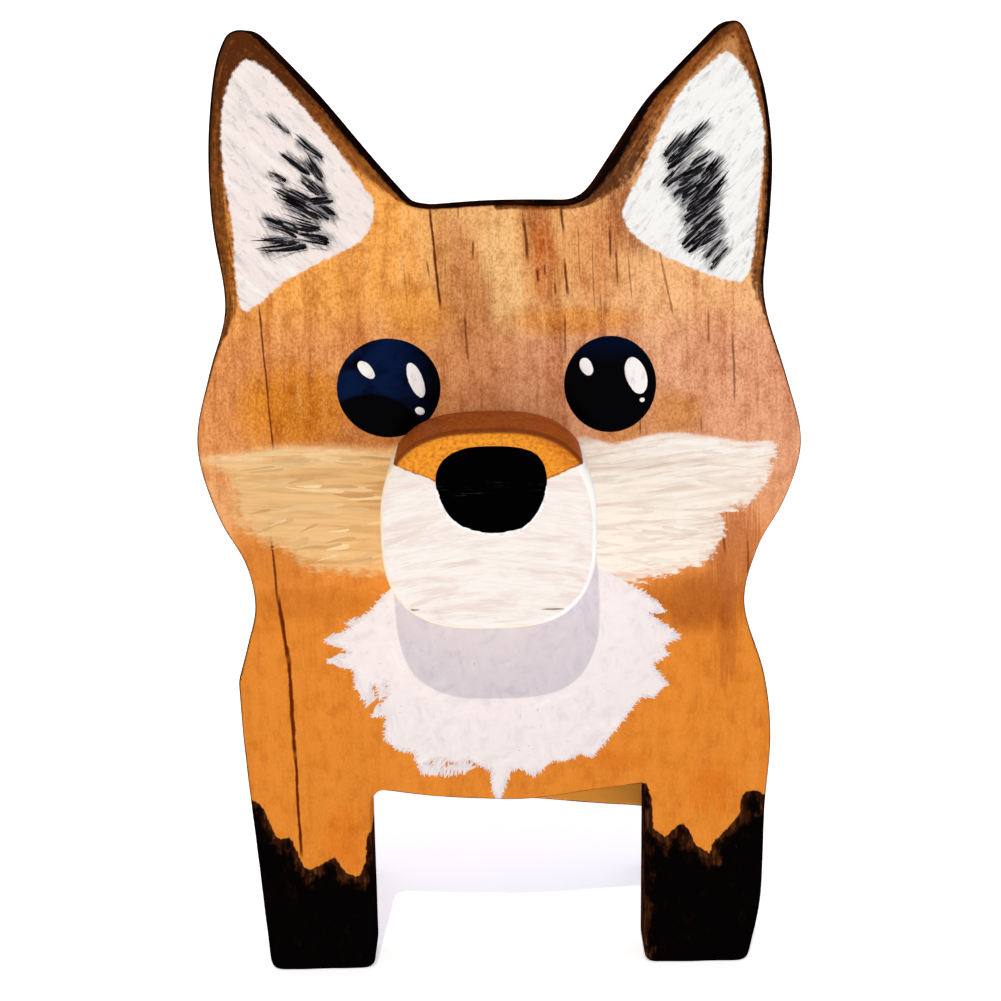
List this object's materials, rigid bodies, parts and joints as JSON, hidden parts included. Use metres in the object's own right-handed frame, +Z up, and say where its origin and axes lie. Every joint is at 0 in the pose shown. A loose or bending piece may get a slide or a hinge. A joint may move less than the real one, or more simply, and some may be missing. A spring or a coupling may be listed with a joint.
{
  "type": "eyeglasses display stand",
  "caption": "Free-standing wooden fox that holds a pair of glasses: its bridge rests on the muzzle block and the folded temples lie behind the head.",
  "frame": {"origin": "on the table, under the middle of the stand's bounding box", "axes": "+Z up, -Y out of the fox's face, +X to the right as seen from the front"},
  "size_m": [0.094, 0.064, 0.1506],
  "materials": {
    "stained_board": "orange stained pine, painted by hand and varnished",
    "stained_block": "orange stained pine, varnished",
    "painted_muzzle": "pine, painted off-white with an orange cap, satin",
    "dowel_wood": "bare hardwood dowel"
  },
  "bodies": {
    "root": {"front_board": "stained_board", "muzzle_block": "painted_muzzle", "body_block": "stained_block", "hind_board": "stained_board", "muzzle_dowel_left": "dowel_wood", "muzzle_dowel_right": "dowel_wood", "front_body_dowel_left": "dowel_wood", "front_body_dowel_right": "dowel_wood", "hind_body_dowel_left": "dowel_wood", "hind_body_dowel_right": "dowel_wood"}
  },
  "joints": []
}
